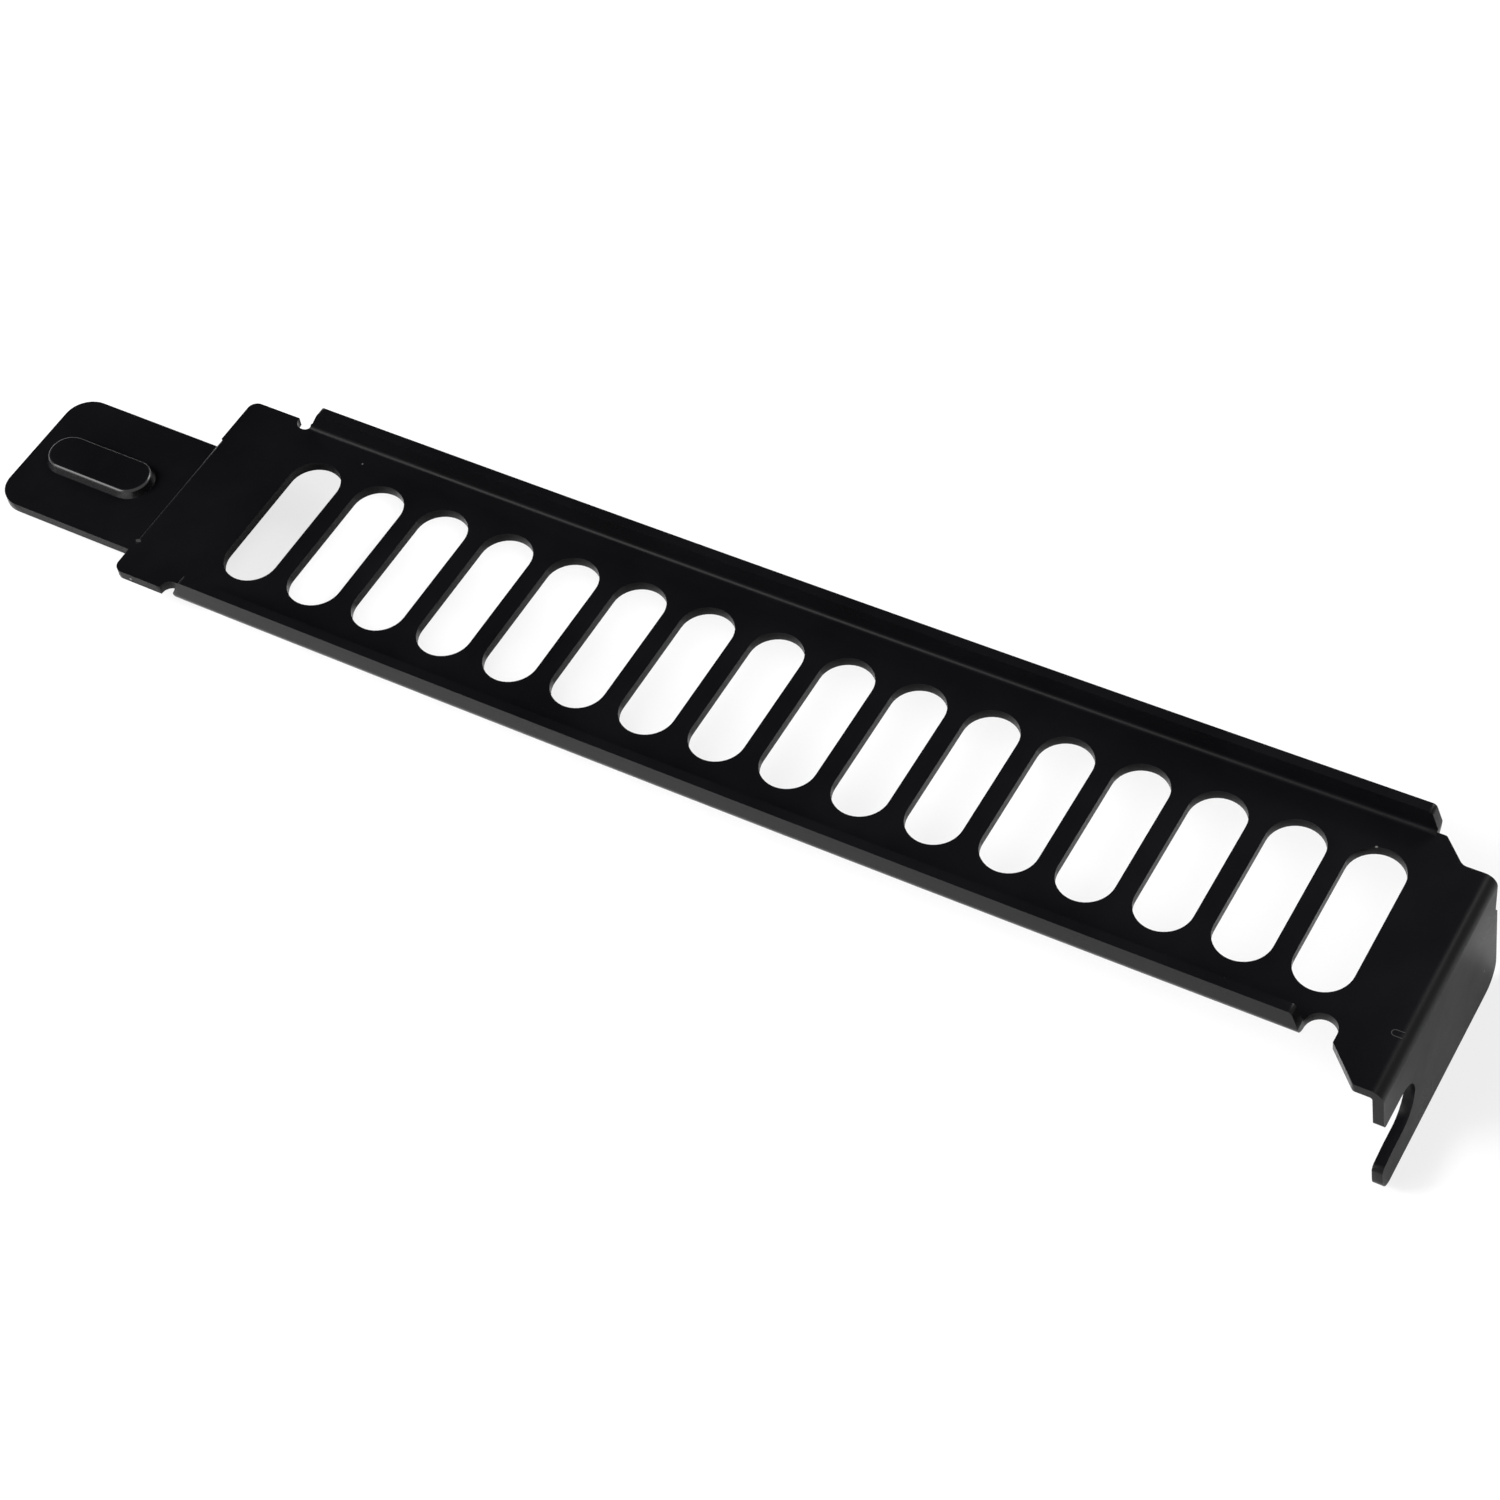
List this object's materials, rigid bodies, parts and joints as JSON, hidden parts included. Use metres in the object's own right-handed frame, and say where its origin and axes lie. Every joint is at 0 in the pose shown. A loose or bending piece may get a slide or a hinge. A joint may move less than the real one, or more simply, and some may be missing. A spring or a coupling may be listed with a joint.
{
  "type": "pci slot cover bracket",
  "caption": "Vented expansion slot cover in black painted steel, with low side flanges, a notched screw tab and a stepped, ribbed tongue.",
  "frame": {"origin": "on the centre line between the flanges, where the seat face of the screw tab meets the plane of the plate's outer face", "axes": "+X along the plate from the tongue to the screw tab, +Y across the plate from the notch's side to the plain side, +Z to the plate's inner side, the way the flanges stand"},
  "size_m": [0.1203, 0.0226, 0.0132],
  "materials": {
    "black_paint": "semi-gloss black paint on steel sheet"
  },
  "bodies": {
    "root": {"cover_bracket": "black_paint"}
  },
  "joints": []
}
